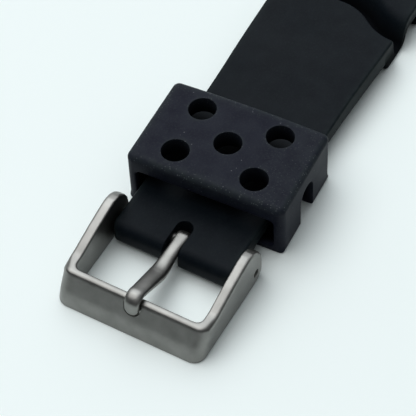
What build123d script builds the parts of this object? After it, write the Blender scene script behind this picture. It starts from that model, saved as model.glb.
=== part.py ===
from math import cos, hypot, radians, sin, tan
import os

from build123d import *

os.makedirs("parts", exist_ok=True)

# Strap, in millimetres: reaches run from the buckle bar's centre, distances back from the lug
# bar's centre, and heights from the table
strap_length = 82.0
strap_top = 4.7
body_thickness = 2.8
end_width = 21.8
middle_width = 22.9
crest_width = 24.4
side_edge_radius = 0.35
# The strap lies this far to one side of the buckle's middle, within its play on the bar
strap_shift = 0.3

# Thick rounded end that the buckle bar passes through
end_thickness = 4.3
nose_reach = 4.0
nose_top_radius = 1.9
nose_bottom_radius = 1.3
end_block_reach = 3.2
end_slope_reach = 5.2
nose_corner_radius = 1.2
slot_width = 3.0
slot_rear = 2.6

# Where the strap starts and stops to widen, and to rise to the crests
taper_start_reach = 8.0
taper_end_distance = 47.0
flare_end_distance = 30.0
shoulder_start_distance = 11.0
shoulder_end_distance = 5.0
plan_radius = 20.0
shoulder_radius = 4.0
rise_start_distance = 60.0
rise_end_distance = 36.0
crest_rise = 1.0

# Waves: a thick leg down to the table, a thin floor and a slanted wall up to the next block
first_valley_distance = 26.95
valley_pitch = 13.5
valley_count = 2
bow = 4.5
valley_floor = 1.1
crest_behind = 2.0
crest_ahead = 2.7
floor_behind = 1.15
floor_ahead = 1.1
leg_toe = 5.9
leg_crease = 4.5
wall_foot = 2.9
wall_shoulder = 4.3
crest_radius = 0.6
rise_radius = 0.9
floor_radius = 1.0
toe_radius = 1.1
crease_radius = 0.2
foot_radius = 1.5
shoulder_inner_radius = 0.8

# Lug end, for a case with this distance between its lugs
lug_distance = 22.0
lug_clearance = 0.1
lug_thickness = 5.0
lug_block_length = 6.0
lug_underside_length = 5.0
lug_underside_radius = 1.0
lug_corner_radius = 0.8

# Spring bars
bar_height = 2.6
buckle_tube_diameter = 1.8
lug_tube_diameter = 2.5
buckle_pin_diameter = 1.0
lug_pin_diameter = 1.1
lug_pin_reach = 1.3
neck_reach = 0.15
tube_wall = 0.2
lip_length = 0.5
head_length = 1.6
pin_end_chamfer = 0.15
spring_wire = 0.2
tube_gap = 0.3
rubber_fit = 0.03
pin_fit = 0.05
inner_fit = 0.04

# Buckle frame
frame_side_gap = 0.66
arm_thickness = 1.84
buckle_reach = 18.5
ridge_reach = 15.65
front_bar_inner = 14.15
front_bar_height = 5.7
arm_height = 8.1
arm_rear = 2.3
arm_rear_bottom_radius = 2.3
arm_rear_top_radius = 4.2
arm_swell = 0.18
front_swell = 0.35
frame_corner_radius = 1.7
window_corner_radius = 0.9
frame_edge_radius = 0.45
inner_edge_radius = 0.3
pin_recess = 0.4
notch_width = 3.1

# Tongue
tongue_width = 2.3
tongue_thickness = 1.2
tongue_edge_radius = 0.4
tongue_shift = 0.1
tongue_dip_reach = 7.4
tongue_dip_height = 3.4
tongue_dip_radius = 7.0
tongue_knee_reach = 16.1
tongue_knee_height = 7.4
tongue_knee_radius = 1.3
tongue_tip_reach = 16.9
tongue_tip_height = 3.2
tongue_rest_gap = 0.08
eye_wall = 0.79
eye_fit = 0.06

# Keeper, a loop with five round holes
keeper_reach = 15.35
keeper_length = 18.4
keeper_side_gap = 1.2
keeper_height = 11.25
keeper_wall = 1.4
keeper_plate = 3.55
keeper_band = 1.5
keeper_crown = 0.4
# The loose keeper sits turned on the strap, as photographed
keeper_turn = 2.75
keeper_corner_radius = 0.8
keeper_edge_radius = 0.55
keeper_opening_radius = 0.9
leg_notch_width = 4.8
leg_notch_top = 7.6
hole_diameter = 4.8
hole_spacing_x = 4.91
hole_spacing_y = 7.13

# One overrun for every cut
overrun = 2.0

# Places that follow from the sizes above; the origin is at the middle of the whole length
crest_top = strap_top + crest_rise
flat_underside = strap_top - body_thickness
crest_underside = flat_underside + crest_rise
end_underside = strap_top - end_thickness
lug_width = lug_distance - 2 * lug_clearance
lug_radius = lug_thickness / 2
lug_height = crest_top - lug_radius
whole_length = buckle_reach + strap_length + lug_radius
bar_x = buckle_reach - whole_length / 2
lug_x = bar_x + strap_length
frame_gap = end_width + 2 * frame_side_gap
frame_width = frame_gap + 2 * arm_thickness
keeper_width = middle_width + 2 * keeper_side_gap + 2 * keeper_wall
strap_plane = Plane.XZ.offset(-strap_shift)
tongue_plane = Plane.XZ.offset(-tongue_shift)
tip_x = bar_x - tongue_tip_reach
tip_forward = tongue_tip_reach - tongue_knee_reach
tip_drop = tongue_knee_height - tongue_tip_height
tip_run = hypot(tip_forward, tip_drop)
tip_out = (-tip_drop / tip_run, 0, tip_forward / tip_run)


def along(reach):
    """Place along the strap of a length counted from the buckle bar"""
    return bar_x + reach


def before(distance):
    """Place along the strap of a length counted back from the lug bar"""
    return lug_x - distance


# Strap
bow_half = crest_width / 2 + side_edge_radius


def wave_corners():
    """Corners of the waved stretch from the lug bar, each with its height and its corner radius"""
    top = []
    under = []
    for index in range(valley_count):
        middle = index * valley_pitch - first_valley_distance
        top += [
            (middle - crest_behind, crest_top, crest_radius),
            (middle - floor_behind, valley_floor, floor_radius),
            (middle + floor_ahead, valley_floor, floor_radius),
            (middle + crest_ahead, crest_top, rise_radius),
        ]
        under += [
            (middle - leg_crease, crest_underside, crease_radius),
            (middle - leg_toe, 0, toe_radius),
            (middle + wall_foot, 0, foot_radius),
            (middle + wall_shoulder, crest_underside, shoulder_inner_radius),
        ]
    return top, under


with BuildPart() as strap:
    # Flat stretch with its thick end, straight across
    with BuildSketch(strap_plane):
        with BuildLine():
            nose_points = [
                (along(end_slope_reach), flat_underside),
                (along(end_block_reach), end_underside),
                (along(-nose_reach), end_underside),
                (along(-nose_reach), strap_top),
                (before(rise_start_distance), strap_top),
            ]
            FilletPolyline(*nose_points, radius=[nose_bottom_radius, nose_bottom_radius, nose_top_radius])
            rise_start = before(rise_start_distance)
            rise_end = before(rise_end_distance)
            rise_middle = (rise_start + rise_end) / 2
            rise_half = crest_rise / 2
            top_low = TangentArc(
                (rise_start, strap_top), (rise_middle, strap_top + rise_half), tangent=(1, 0)
            )
            TangentArc(top_low @ 1, (rise_end, crest_top), tangent=top_low % 1)
            block_end = before(first_valley_distance + leg_crease)
            Line((rise_end, crest_top), (block_end, crest_top))
            Line((block_end, crest_top), (block_end, crest_underside))
            Line((block_end, crest_underside), (rise_end, crest_underside))
            under_low = TangentArc(
                (rise_start, flat_underside), (rise_middle, flat_underside + rise_half), tangent=(1, 0)
            )
            TangentArc(under_low @ 1, (rise_end, crest_underside), tangent=under_low % 1)
            Line((rise_start, flat_underside), (along(end_slope_reach), flat_underside))
        make_face()
    extrude(amount=bow_half + overrun, both=True)

    # Waved stretch, its section carried along a bowed line across the strap
    with BuildLine() as bow_line:
        bow_start = rise_end
        side_tangent = (0, 1)
        near_side = Line(
            (bow_start, strap_shift - bow_half - overrun), (bow_start, strap_shift - bow_half)
        )
        near_turn = (bow_start + bow / 2, strap_shift - bow_half / 2)
        out = TangentArc(near_side @ 1, near_turn, tangent=side_tangent)
        middle_arc = TangentArc(out @ 1, (bow_start + bow / 2, strap_shift + bow_half / 2), tangent=out % 1)
        back = TangentArc(middle_arc @ 1, (bow_start, strap_shift + bow_half), tangent=middle_arc % 1)
        Line(back @ 1, (bow_start, strap_shift + bow_half + overrun))
    top_corners, under_corners = wave_corners()
    wave_end = overrun - lug_block_length
    with BuildSketch(Plane.XZ.offset(-(strap_shift - bow_half - overrun))):
        with BuildLine():
            outline = [(-rise_end_distance, crest_underside, 0), (-rise_end_distance, crest_top, 0)]
            outline += top_corners + [(wave_end, crest_top, 0), (wave_end, crest_underside, 0)]
            outline += under_corners[::-1]
            corners = [(lug_x + x, z) for x, z, r in outline]
            FilletPolyline(*corners, radius=[r for x, z, r in outline], close=True)
        make_face()
    sweep(path=bow_line.wire(), normal=(0, 1, 0))

    # Lug end, straight across
    with BuildSketch(strap_plane):
        with BuildLine():
            lug_points = [
                (before(lug_block_length), crest_underside),
                (before(lug_block_length), crest_top),
                (lug_x + lug_radius, crest_top),
                (lug_x + lug_radius, crest_top - lug_thickness),
                (before(lug_underside_length), crest_top - lug_thickness),
            ]
            lug_round = lug_radius - side_edge_radius
            FilletPolyline(*lug_points, radius=[0, 0, lug_round, lug_round, lug_underside_radius], close=True)
        make_face()
    extrude(amount=bow_half + overrun, both=True)

    # Plan outline: narrow at both ends, widest over the waves
    with BuildSketch(Plane.XY.offset(-overrun)):
        with BuildLine():
            nose_x = along(-nose_reach)
            plan = [
                (nose_x, end_width, nose_corner_radius),
                (along(taper_start_reach), end_width, plan_radius),
                (before(taper_end_distance), middle_width, plan_radius),
                (before(flare_end_distance), crest_width, plan_radius),
                (before(shoulder_start_distance), crest_width, shoulder_radius),
                (before(shoulder_end_distance), lug_width, shoulder_radius),
                (lug_x + lug_radius, lug_width, lug_corner_radius),
            ]
            left = [(x, strap_shift + w / 2, r) for x, w, r in plan]
            right = [(x, strap_shift - w / 2, r) for x, w, r in plan[::-1]]
            ring = left + right
            FilletPolyline(*[(x, y) for x, y, r in ring], radius=[r for x, y, r in ring], close=True)
        make_face()
    extrude(amount=crest_top + 2 * overrun, mode=Mode.INTERSECT)

    # Slot for the tongue, open at the nose
    slot_radius = slot_width / 2
    with BuildSketch(Plane.XY.offset(-overrun)):
        slot_x = along(slot_rear - slot_radius)
        slot_length = slot_x - nose_x + overrun
        with Locations((slot_x - slot_length / 2, strap_shift)):
            Rectangle(slot_length, slot_width)
        with Locations((slot_x, strap_shift)):
            Circle(slot_radius)
    extrude(amount=crest_top + 2 * overrun, mode=Mode.SUBTRACT)

    # Bores for the two spring bars
    with BuildSketch(strap_plane):
        with Locations((bar_x, bar_height)):
            Circle(buckle_tube_diameter / 2 + rubber_fit)
        with Locations((lug_x, lug_height)):
            Circle(lug_tube_diameter / 2 + rubber_fit)
    extrude(amount=crest_width, both=True, mode=Mode.SUBTRACT)
strap.part.label = "strap"
export_step(strap.part, "parts/strap.step")


# Spring bars: a crimped tube, a sprung pin at each end and the coil between them
def spring_bar(name, x, y, z, tube_diameter, tube_length, pin_diameter, pin_reach):
    """One spring bar along Y, with its middle at the given place"""
    bar_plane = Plane(origin=(x, y, z), x_dir=(0, 1, 0), z_dir=(1, 0, 0))
    bar_axis = Axis((x, y, z), (0, 1, 0))
    tube_radius = tube_diameter / 2
    bore_radius = tube_radius - tube_wall
    pin_radius = pin_diameter / 2
    head_radius = bore_radius - inner_fit
    neck_radius = (pin_radius + head_radius) / 2
    mouth_radius = neck_radius + inner_fit
    half = tube_length / 2
    lip = half - lip_length
    head = lip - head_length

    with BuildPart() as tube:
        with BuildSketch(bar_plane):
            with BuildLine():
                Polyline(
                    (-half, mouth_radius),
                    (-half, tube_radius - pin_end_chamfer),
                    (-half + pin_end_chamfer, tube_radius),
                    (half - pin_end_chamfer, tube_radius),
                    (half, tube_radius - pin_end_chamfer),
                    (half, mouth_radius),
                    (lip, mouth_radius),
                    (lip, bore_radius),
                    (-lip, bore_radius),
                    (-lip, mouth_radius),
                    close=True,
                )
            make_face()
        revolve(axis=bar_axis)
    tube.part.label = name + "_tube"
    export_step(tube.part, "parts/" + tube.part.label + ".step")

    for side, word in ((1, "left"), (-1, "right")):
        end = half + pin_reach
        with BuildPart() as pin:
            with BuildSketch(bar_plane):
                with BuildLine():
                    Polyline(
                        (side * head, 0),
                        (side * head, head_radius),
                        (side * lip, head_radius),
                        (side * lip, neck_radius),
                        (side * (half + neck_reach), neck_radius),
                        (side * (half + neck_reach), pin_radius),
                        (side * (end - pin_end_chamfer), pin_radius),
                        (side * end, pin_radius - pin_end_chamfer),
                        (side * end, 0),
                        close=True,
                    )
                make_face()
            revolve(axis=bar_axis)
        pin.part.label = name + "_pin_" + word
        export_step(pin.part, "parts/" + pin.part.label + ".step")

    with BuildPart() as coil:
        with BuildSketch(bar_plane):
            with Locations((0, head_radius - spring_wire / 2)):
                Rectangle(2 * head, spring_wire)
        revolve(axis=bar_axis)
    coil.part.label = name + "_spring"
    export_step(coil.part, "parts/" + coil.part.label + ".step")


buckle_tube_length = frame_gap - 2 * tube_gap
spring_bar(
    "buckle_bar",
    bar_x,
    0,
    bar_height,
    buckle_tube_diameter,
    buckle_tube_length,
    buckle_pin_diameter,
    tube_gap + arm_thickness - pin_recess,
)
lug_tube_length = lug_width - 2 * lug_clearance
spring_bar(
    "lug_bar",
    lug_x,
    strap_shift,
    lug_height,
    lug_tube_diameter,
    lug_tube_length,
    lug_pin_diameter,
    lug_pin_reach,
)

# Buckle frame: two arms and a front bar, open at the rear
with BuildPart() as buckle_frame:
    with BuildSketch(Plane.XZ):
        with BuildLine():
            front = (along(-buckle_reach), 0)
            ridge = (along(-ridge_reach), front_bar_height)
            arm_low = (along(arm_thickness - front_bar_inner), front_bar_height)
            arm_high = (along(arm_rear - arm_rear_top_radius), arm_height)
            SagittaArc(front, ridge, front_swell)
            Line(ridge, arm_low)
            top_curve = SagittaArc(arm_low, arm_high, arm_swell)
            top_slope = (top_curve % 1).get_signed_angle(Vector(1, 0, 0), Vector(0, -1, 0))
            rear_drop = arm_rear_top_radius * tan(radians((90 - abs(top_slope)) / 2))
            rear_high = (along(arm_rear), arm_height - rear_drop)
            TangentArc(arm_high, rear_high, tangent=top_curve % 1)
            rear_low = (along(arm_rear), arm_rear_bottom_radius)
            Line(rear_high, rear_low)
            under_rear = (along(arm_rear - arm_rear_bottom_radius), 0)
            TangentArc(rear_low, under_rear, tangent=(0, -1))
            Line(under_rear, front)
        make_face()
    extrude(amount=frame_width / 2, both=True)

    # Rounded front corners, down the swelled front face
    front_edges = buckle_frame.edges().filter_by(GeomType.CIRCLE).filter_by(
        lambda e: e.center().X < along(-ridge_reach)
    )
    fillet(front_edges, radius=frame_corner_radius)

    # Window between the arms
    window_length = arm_rear + front_bar_inner + overrun
    with BuildSketch(Plane.XY.offset(-overrun)):
        with Locations((along(-front_bar_inner) + window_length / 2, 0)):
            Rectangle(window_length, frame_gap)
    extrude(amount=arm_height + 2 * overrun, mode=Mode.SUBTRACT)
    window_corners = buckle_frame.edges().filter_by(Axis.Z).filter_by(
        lambda e: abs(e.center().Y) < frame_width / 2 - arm_thickness / 2 and e.center().X < bar_x
    )
    fillet(window_corners, radius=window_corner_radius)

    # Softened rim: the outer edges with the ridge that they run into, then the inner edges
    rim = buckle_frame.edges().filter_by(lambda e: e.center().Z > arm_rear_bottom_radius / 2)
    outer_rim = rim.filter_by(lambda e: abs(e.center().Y) > frame_gap / 2 + arm_thickness / 2)
    fillet(outer_rim, radius=frame_edge_radius)
    above = buckle_frame.edges().filter_by(Axis.Z, reverse=True).filter_by(
        lambda e: e.center().Z > arm_rear_bottom_radius / 2
    )
    inner_rim = above.filter_by(
        lambda e: abs(e.center().Y) < frame_gap / 2 + inner_fit
        and e.center().X > along(-front_bar_inner) - inner_fit
    )
    fillet(inner_rim, radius=inner_edge_radius)

    # Holes for the bar's pins, through both arms
    with BuildSketch(Plane.XZ):
        with Locations((bar_x, bar_height)):
            Circle(buckle_pin_diameter / 2 + pin_fit)
    extrude(amount=frame_width, both=True, mode=Mode.SUBTRACT)

    # Notch for the tongue's tip, down the front face
    notch_floor = tongue_thickness / 2 + tongue_rest_gap
    notch_radius = notch_width / 2
    notch_plane = Plane(
        origin=(tip_x - tip_out[0] * notch_floor, 0, tongue_tip_height - tip_out[2] * notch_floor),
        x_dir=(0, 1, 0),
        z_dir=tip_out,
    )
    with BuildSketch(notch_plane):
        notch_length = tip_run + overrun
        with Locations((0, -tongue_width / 2)):
            Circle(notch_radius)
        with Locations((0, -tongue_width / 2 - notch_length / 2)):
            Rectangle(notch_width, notch_length)
    extrude(amount=tongue_thickness + overrun, mode=Mode.SUBTRACT)
buckle_frame.part.label = "buckle_frame"
export_step(buckle_frame.part, "parts/buckle_frame.step")

# Tongue: an eye round the bar and a bent arm whose tip lies in the notch
with BuildPart() as buckle_tongue:
    eye_bore = buckle_tube_diameter / 2 + eye_fit
    with BuildSketch(tongue_plane):
        with Locations((bar_x, bar_height)):
            Circle(eye_bore + eye_wall)
    extrude(amount=tongue_width / 2, both=True)
    root_height = bar_height + eye_bore + eye_wall - tongue_thickness / 2
    with BuildLine(tongue_plane) as tongue_line:
        FilletPolyline(
            (bar_x, root_height),
            (along(-tongue_dip_reach), tongue_dip_height),
            (along(-tongue_knee_reach), tongue_knee_height),
            (along(-tongue_tip_reach), tongue_tip_height),
            radius=[tongue_dip_radius, tongue_knee_radius],
        )
    with BuildSketch(Plane(tongue_line.wire() @ 0, x_dir=(0, 1, 0), z_dir=tongue_line.wire() % 0)):
        RectangleRounded(tongue_width, tongue_thickness, tongue_edge_radius)
    sweep(path=tongue_line.wire())
    with BuildSketch(tongue_plane):
        with Locations((bar_x, bar_height)):
            Circle(eye_bore)
    extrude(amount=tongue_width, both=True, mode=Mode.SUBTRACT)
    # Rounded tip
    tip_radius = tongue_width / 2
    with BuildSketch(Plane(origin=(tip_x, tongue_shift, tongue_tip_height), x_dir=(0, 1, 0), z_dir=tip_out)):
        with Locations((0, -tip_radius / 2)):
            Rectangle(tongue_width + overrun, tip_radius)
        with Locations((0, -tip_radius)):
            Circle(tip_radius, mode=Mode.SUBTRACT)
    extrude(amount=tongue_thickness, both=True, mode=Mode.SUBTRACT)
buckle_tongue.part.label = "buckle_tongue"
export_step(buckle_tongue.part, "parts/buckle_tongue.step")

# Keeper: a loop with five holes in its plate and a notch between the legs of each side
keeper_x = along(keeper_reach)
turn_x = (cos(radians(keeper_turn)), sin(radians(keeper_turn)), 0)
turn_y = (-sin(radians(keeper_turn)), cos(radians(keeper_turn)), 0)
keeper_base = Plane(origin=(keeper_x, 0, 0), x_dir=turn_x, z_dir=(0, 0, 1))
keeper_end = Plane(origin=(keeper_x, 0, 0), x_dir=turn_y, z_dir=turn_x)
keeper_side = Plane(origin=(keeper_x, 0, 0), x_dir=turn_x, z_dir=[-n for n in turn_y])
with BuildPart() as keeper:
    # Cross-section with its crowned top
    with BuildSketch(keeper_end):
        with BuildLine():
            half = keeper_width / 2
            edge_height = keeper_height - keeper_crown
            Polyline((-half, edge_height), (-half, 0), (half, 0), (half, edge_height))
            ThreePointArc((half, edge_height), (0, keeper_height), (-half, edge_height))
        make_face()
        opening_height = keeper_height - keeper_plate - keeper_band
        with Locations((0, keeper_band + opening_height / 2)):
            RectangleRounded(
                keeper_width - 2 * keeper_wall, opening_height, keeper_opening_radius, mode=Mode.SUBTRACT
            )
    extrude(amount=keeper_length / 2, both=True)

    # Rounded upright corners, then the rim of the top
    upright = keeper.edges().filter_by(Axis.Z).filter_by(lambda e: e.length > keeper_height / 2)
    fillet(upright, radius=keeper_corner_radius)
    rim = keeper.faces().filter_by(GeomType.CYLINDER).sort_by(Axis.Z)[-1].edges()
    fillet(rim, radius=keeper_edge_radius)

    # Notch between the legs, with a half-round top, through both sides and the band
    notch_radius = leg_notch_width / 2
    with BuildSketch(keeper_side):
        notch_straight = leg_notch_top - notch_radius
        with Locations((0, (notch_straight - overrun) / 2)):
            Rectangle(leg_notch_width, notch_straight + overrun)
        with Locations((0, notch_straight)):
            Circle(notch_radius)
    extrude(amount=keeper_width, both=True, mode=Mode.SUBTRACT)

    # Five holes through the plate
    with BuildSketch(keeper_base.offset(keeper_height - keeper_plate - overrun)):
        with Locations((0, 0)):
            Circle(hole_diameter / 2)
        with GridLocations(2 * hole_spacing_x, 2 * hole_spacing_y, 2, 2):
            Circle(hole_diameter / 2)
    extrude(amount=keeper_plate + 2 * overrun, mode=Mode.SUBTRACT)
keeper.part.label = "keeper"
export_step(keeper.part, "parts/keeper.step")
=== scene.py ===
import math

import bmesh
import bpy
import numpy as np
from mathutils import Matrix, Vector


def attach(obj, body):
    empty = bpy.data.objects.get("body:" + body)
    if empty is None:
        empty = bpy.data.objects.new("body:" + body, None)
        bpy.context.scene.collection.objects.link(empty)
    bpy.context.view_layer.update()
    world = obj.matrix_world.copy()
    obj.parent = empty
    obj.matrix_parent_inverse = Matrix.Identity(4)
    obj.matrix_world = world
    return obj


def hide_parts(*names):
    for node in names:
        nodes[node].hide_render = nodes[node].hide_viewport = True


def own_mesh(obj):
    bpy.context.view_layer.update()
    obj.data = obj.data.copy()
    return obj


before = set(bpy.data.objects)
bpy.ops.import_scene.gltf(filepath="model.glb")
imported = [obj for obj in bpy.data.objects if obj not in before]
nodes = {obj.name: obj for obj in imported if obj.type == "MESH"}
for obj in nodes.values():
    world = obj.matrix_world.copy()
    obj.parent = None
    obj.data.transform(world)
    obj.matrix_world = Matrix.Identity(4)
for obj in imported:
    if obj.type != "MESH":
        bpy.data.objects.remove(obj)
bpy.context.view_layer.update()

mm = 0.001  # pieces are worked out in millimetres and put into the mesh in metres
sideReach = 16  # cutters that run across a piece reach this far to each side
squareCorners = 50  # from this many degrees between its faces a rim counts as sharp


# Meshes

def shadeSmooth(mesh):
    mesh.polygons.foreach_set("use_smooth", np.ones(len(mesh.polygons), bool))


# A smooth-shaded object from an array of points in millimetres and lists of corner numbers
def addMesh(name, points, faces):
    mesh = bpy.data.meshes.new(name)
    mesh.from_pydata((np.asarray(points) * mm).tolist(), [], [list(f) for f in faces])
    shadeSmooth(mesh)
    obj = bpy.data.objects.new(name, mesh)
    bpy.context.scene.collection.objects.link(obj)
    return obj


# Quads of a grid whose columns run round in a ring, and whose rows may do so too
def gridFaces(rows, columns, closeRows=False):
    row = np.arange(rows if closeRows else rows - 1)[:, None]
    column = np.arange(columns)[None, :]
    nextRow, nextColumn = (row + 1) % rows, (column + 1) % columns
    corners = (row * columns + column, row * columns + nextColumn,
               nextRow * columns + nextColumn, nextRow * columns + column)
    return np.stack([np.broadcast_to(c, (len(row), columns)) for c in corners], -1).reshape(-1, 4).tolist()


# Two faces that close a grid's first and last ring
def endCaps(rows, columns):
    last = (rows - 1) * columns
    return [list(range(columns)), list(range(last, last + columns))[::-1]]


# Joins the points that lie on each other, drops slivers and turns all faces outwards
def mend(obj, gap=0.002):
    work = bmesh.new()
    work.from_mesh(obj.data)
    bmesh.ops.remove_doubles(work, verts=work.verts, dist=gap * mm)
    bmesh.ops.dissolve_degenerate(work, dist=gap * mm, edges=work.edges)
    bmesh.ops.recalc_face_normals(work, faces=work.faces)
    work.to_mesh(obj.data)
    work.free()


# Makes what the modifiers give the piece's own mesh
def bakeDown(obj):
    seen = obj.evaluated_get(bpy.context.evaluated_depsgraph_get())
    mesh = bpy.data.meshes.new_from_object(seen)
    obj.modifiers.clear()
    obj.data = mesh
    shadeSmooth(mesh)


# A closed straight body: an outline in two axes, carried along the third from low to high
def prism(name, outline, axis, low, high):
    outline = np.asarray(outline, float)
    count = len(outline)
    ends = [np.insert(outline, axis, level, axis=1) for level in (low, high)]
    caps = [list(range(count))[::-1], list(range(count, 2 * count))]
    obj = addMesh(name, np.concatenate(ends), gridFaces(2, count) + caps)
    mend(obj)
    return obj


# Cuts the tools out of the piece, deletes them, and then rounds the sharp rims that they leave
def cut(obj, tools, rim, steps=3):
    for tool in tools:
        way = obj.modifiers.new(tool.name, "BOOLEAN")
        way.operation, way.solver, way.object = "DIFFERENCE", "EXACT", tool
    bakeDown(obj)
    for tool in tools:
        bpy.data.objects.remove(tool)
    mend(obj)
    if not rim:
        return
    soft = obj.modifiers.new("rims", "BEVEL")
    soft.width, soft.segments, soft.limit_method = rim * mm, steps, "ANGLE"
    soft.angle_limit, soft.miter_outer = math.radians(squareCorners), "MITER_ARC"
    soft.use_clamp_overlap = True
    bakeDown(obj)


# The piece's points in millimetres
def placesOf(obj):
    flat = np.empty(3 * len(obj.data.vertices), np.float32)
    obj.data.vertices.foreach_get("co", flat)
    return flat.reshape(-1, 3) / mm


def setAttribute(obj, name, values):
    obj.data.attributes.new(name, "FLOAT", "POINT").data.foreach_set("value", values.astype(np.float32))


# Points of an arc from one angle in degrees to another
def arc(middle, radius, start, end, count):
    angle = np.radians(np.linspace(start, end, count))
    return np.stack([middle[0] + radius * np.cos(angle), middle[1] + radius * np.sin(angle)], 1)


# Points evenly round a whole circle, each once
def circle(middle, radius, count):
    return arc(middle, radius, 0, 360 - 360 / count, count)


# Straight runs joined by arcs: at each corner (x, z, radius) the arc touches both runs, its middle lying
# on the corner's halving line at radius over the sine of half the angle between them
def roundedLine(corners, steps=7, straight=89.9):
    corners = np.asarray(corners, float)
    spots, radii = corners[:, :2], corners[:, 2]
    line = [spots[:1]]
    for before, spot, after, radius in zip(spots[:-2], spots[1:-1], spots[2:], radii[1:-1]):
        back, ahead = before - spot, after - spot
        back, ahead = back / np.linalg.norm(back), ahead / np.linalg.norm(ahead)
        half = math.acos(np.clip(back @ ahead, -1, 1)) / 2
        if radius == 0 or half > math.radians(straight):
            line.append(spot[None])
            continue
        towards = (back + ahead) / np.linalg.norm(back + ahead)
        middle = spot + towards * radius / math.sin(half)
        share = np.linspace(-1, 1, steps)[:, None] * (math.pi / 2 - half)
        sideways = (ahead - back) / np.linalg.norm(ahead - back)
        line.append(middle + radius * (-towards * np.cos(share) + sideways * np.sin(share)))
    line.append(spots[-1:])
    return np.concatenate(line)


# How far along the line each of its points lies
def lengthsAlong(line):
    return np.concatenate([[0], np.cumsum(np.linalg.norm(np.diff(line, axis=0), axis=1))])


print("helpers ready")


# Materials: node setups on Object coordinates, with every steady value on the shader's own socket

def newMaterial(name):
    material = bpy.data.materials.new(name)
    material.use_nodes = True
    shader = material.node_tree.nodes["Principled BSDF"]
    place = material.node_tree.nodes.new("ShaderNodeTexCoord")
    return material, material.node_tree, shader, place.outputs["Object"]


# Noise whose lumps are about this many millimetres wide
def noise(tree, place, width, detail=2.0, stretch=(1, 1, 1)):
    mapping = tree.nodes.new("ShaderNodeMapping")
    mapping.inputs["Scale"].default_value = [s / (width * mm) for s in stretch]
    tree.links.new(place, mapping.inputs["Vector"])
    texture = tree.nodes.new("ShaderNodeTexNoise")
    texture.inputs["Scale"].default_value = 1
    texture.inputs["Detail"].default_value = detail
    tree.links.new(mapping.outputs["Vector"], texture.inputs["Vector"])
    return texture.outputs["Fac"]


# Carries a value from one range to another
def spread(tree, value, low, high, fromLow, fromHigh):
    node = tree.nodes.new("ShaderNodeMapRange")
    for name, number in (("From Min", fromLow), ("From Max", fromHigh), ("To Min", low), ("To Max", high)):
        node.inputs[name].default_value = number
    tree.links.new(value, node.inputs["Value"])
    return node.outputs["Result"]


# Noise carried from between two of its levels to the range from low to high
def cloudy(tree, place, low, high, width, detail, between=(0.3, 0.7), stretch=(1, 1, 1)):
    return spread(tree, noise(tree, place, width, detail, stretch), low, high, *between)


# Sums, products and the like of two values, the second given as a number or as another node's output
def reckon(tree, operation, first, second):
    node = tree.nodes.new("ShaderNodeMath")
    node.operation = operation
    tree.links.new(first, node.inputs[0])
    if isinstance(second, (int, float)):
        node.inputs[1].default_value = second
    else:
        tree.links.new(second, node.inputs[1])
    return node.outputs["Value"]


# Mixes two colours, given as numbers or as another node's output
def mixColours(tree, share, first, second):
    node = tree.nodes.new("ShaderNodeMix")
    node.data_type = "RGBA"
    tree.links.new(share, node.inputs["Factor"])
    for socket, colour in ((node.inputs["A"], first), (node.inputs["B"], second)):
        if isinstance(colour, tuple):
            socket.default_value = (*colour, 1)
        else:
            tree.links.new(colour, socket)
    return node.outputs["Result"]


# Mixes a node's number with a fixed one
def mixNumbers(tree, share, first, second):
    node = tree.nodes.new("ShaderNodeMix")
    node.inputs["B"].default_value = second
    tree.links.new(share, node.inputs["Factor"])
    tree.links.new(first, node.inputs["A"])
    return node.outputs["Result"]


# Lays bumps over each other, each a height, its depth in millimetres and its strength
def bump(tree, shader, heights):
    normal = None
    for height, depth, strength in heights:
        node = tree.nodes.new("ShaderNodeBump")
        node.inputs["Distance"].default_value = depth * mm
        node.inputs["Strength"].default_value = strength
        tree.links.new(height, node.inputs["Height"])
        if normal:
            tree.links.new(normal, node.inputs["Normal"])
        normal = node.outputs["Normal"]
    tree.links.new(normal, shader.inputs["Normal"])


# Scattered specks: one spot, soft at its edge, in a share of the cells of an irregular grid
def specks(tree, place, cell, width, share, softFrom=0.6):
    mapping = tree.nodes.new("ShaderNodeMapping")
    mapping.inputs["Scale"].default_value = [1 / (cell * mm)] * 3
    tree.links.new(place, mapping.inputs["Vector"])
    texture = tree.nodes.new("ShaderNodeTexVoronoi")
    texture.inputs["Scale"].default_value = 1
    tree.links.new(mapping.outputs["Vector"], texture.inputs["Vector"])
    near = spread(tree, texture.outputs["Distance"], 1, 0, width / cell * softFrom, width / cell)
    chosen = tree.nodes.new("ShaderNodeSeparateColor")
    tree.links.new(texture.outputs["Color"], chosen.inputs["Color"])
    return reckon(tree, "MULTIPLY", near, reckon(tree, "LESS_THAN", chosen.outputs["Red"], share))


def attribute(tree, name):
    node = tree.nodes.new("ShaderNodeAttribute")
    node.attribute_name = name
    return node.outputs["Fac"]


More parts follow.
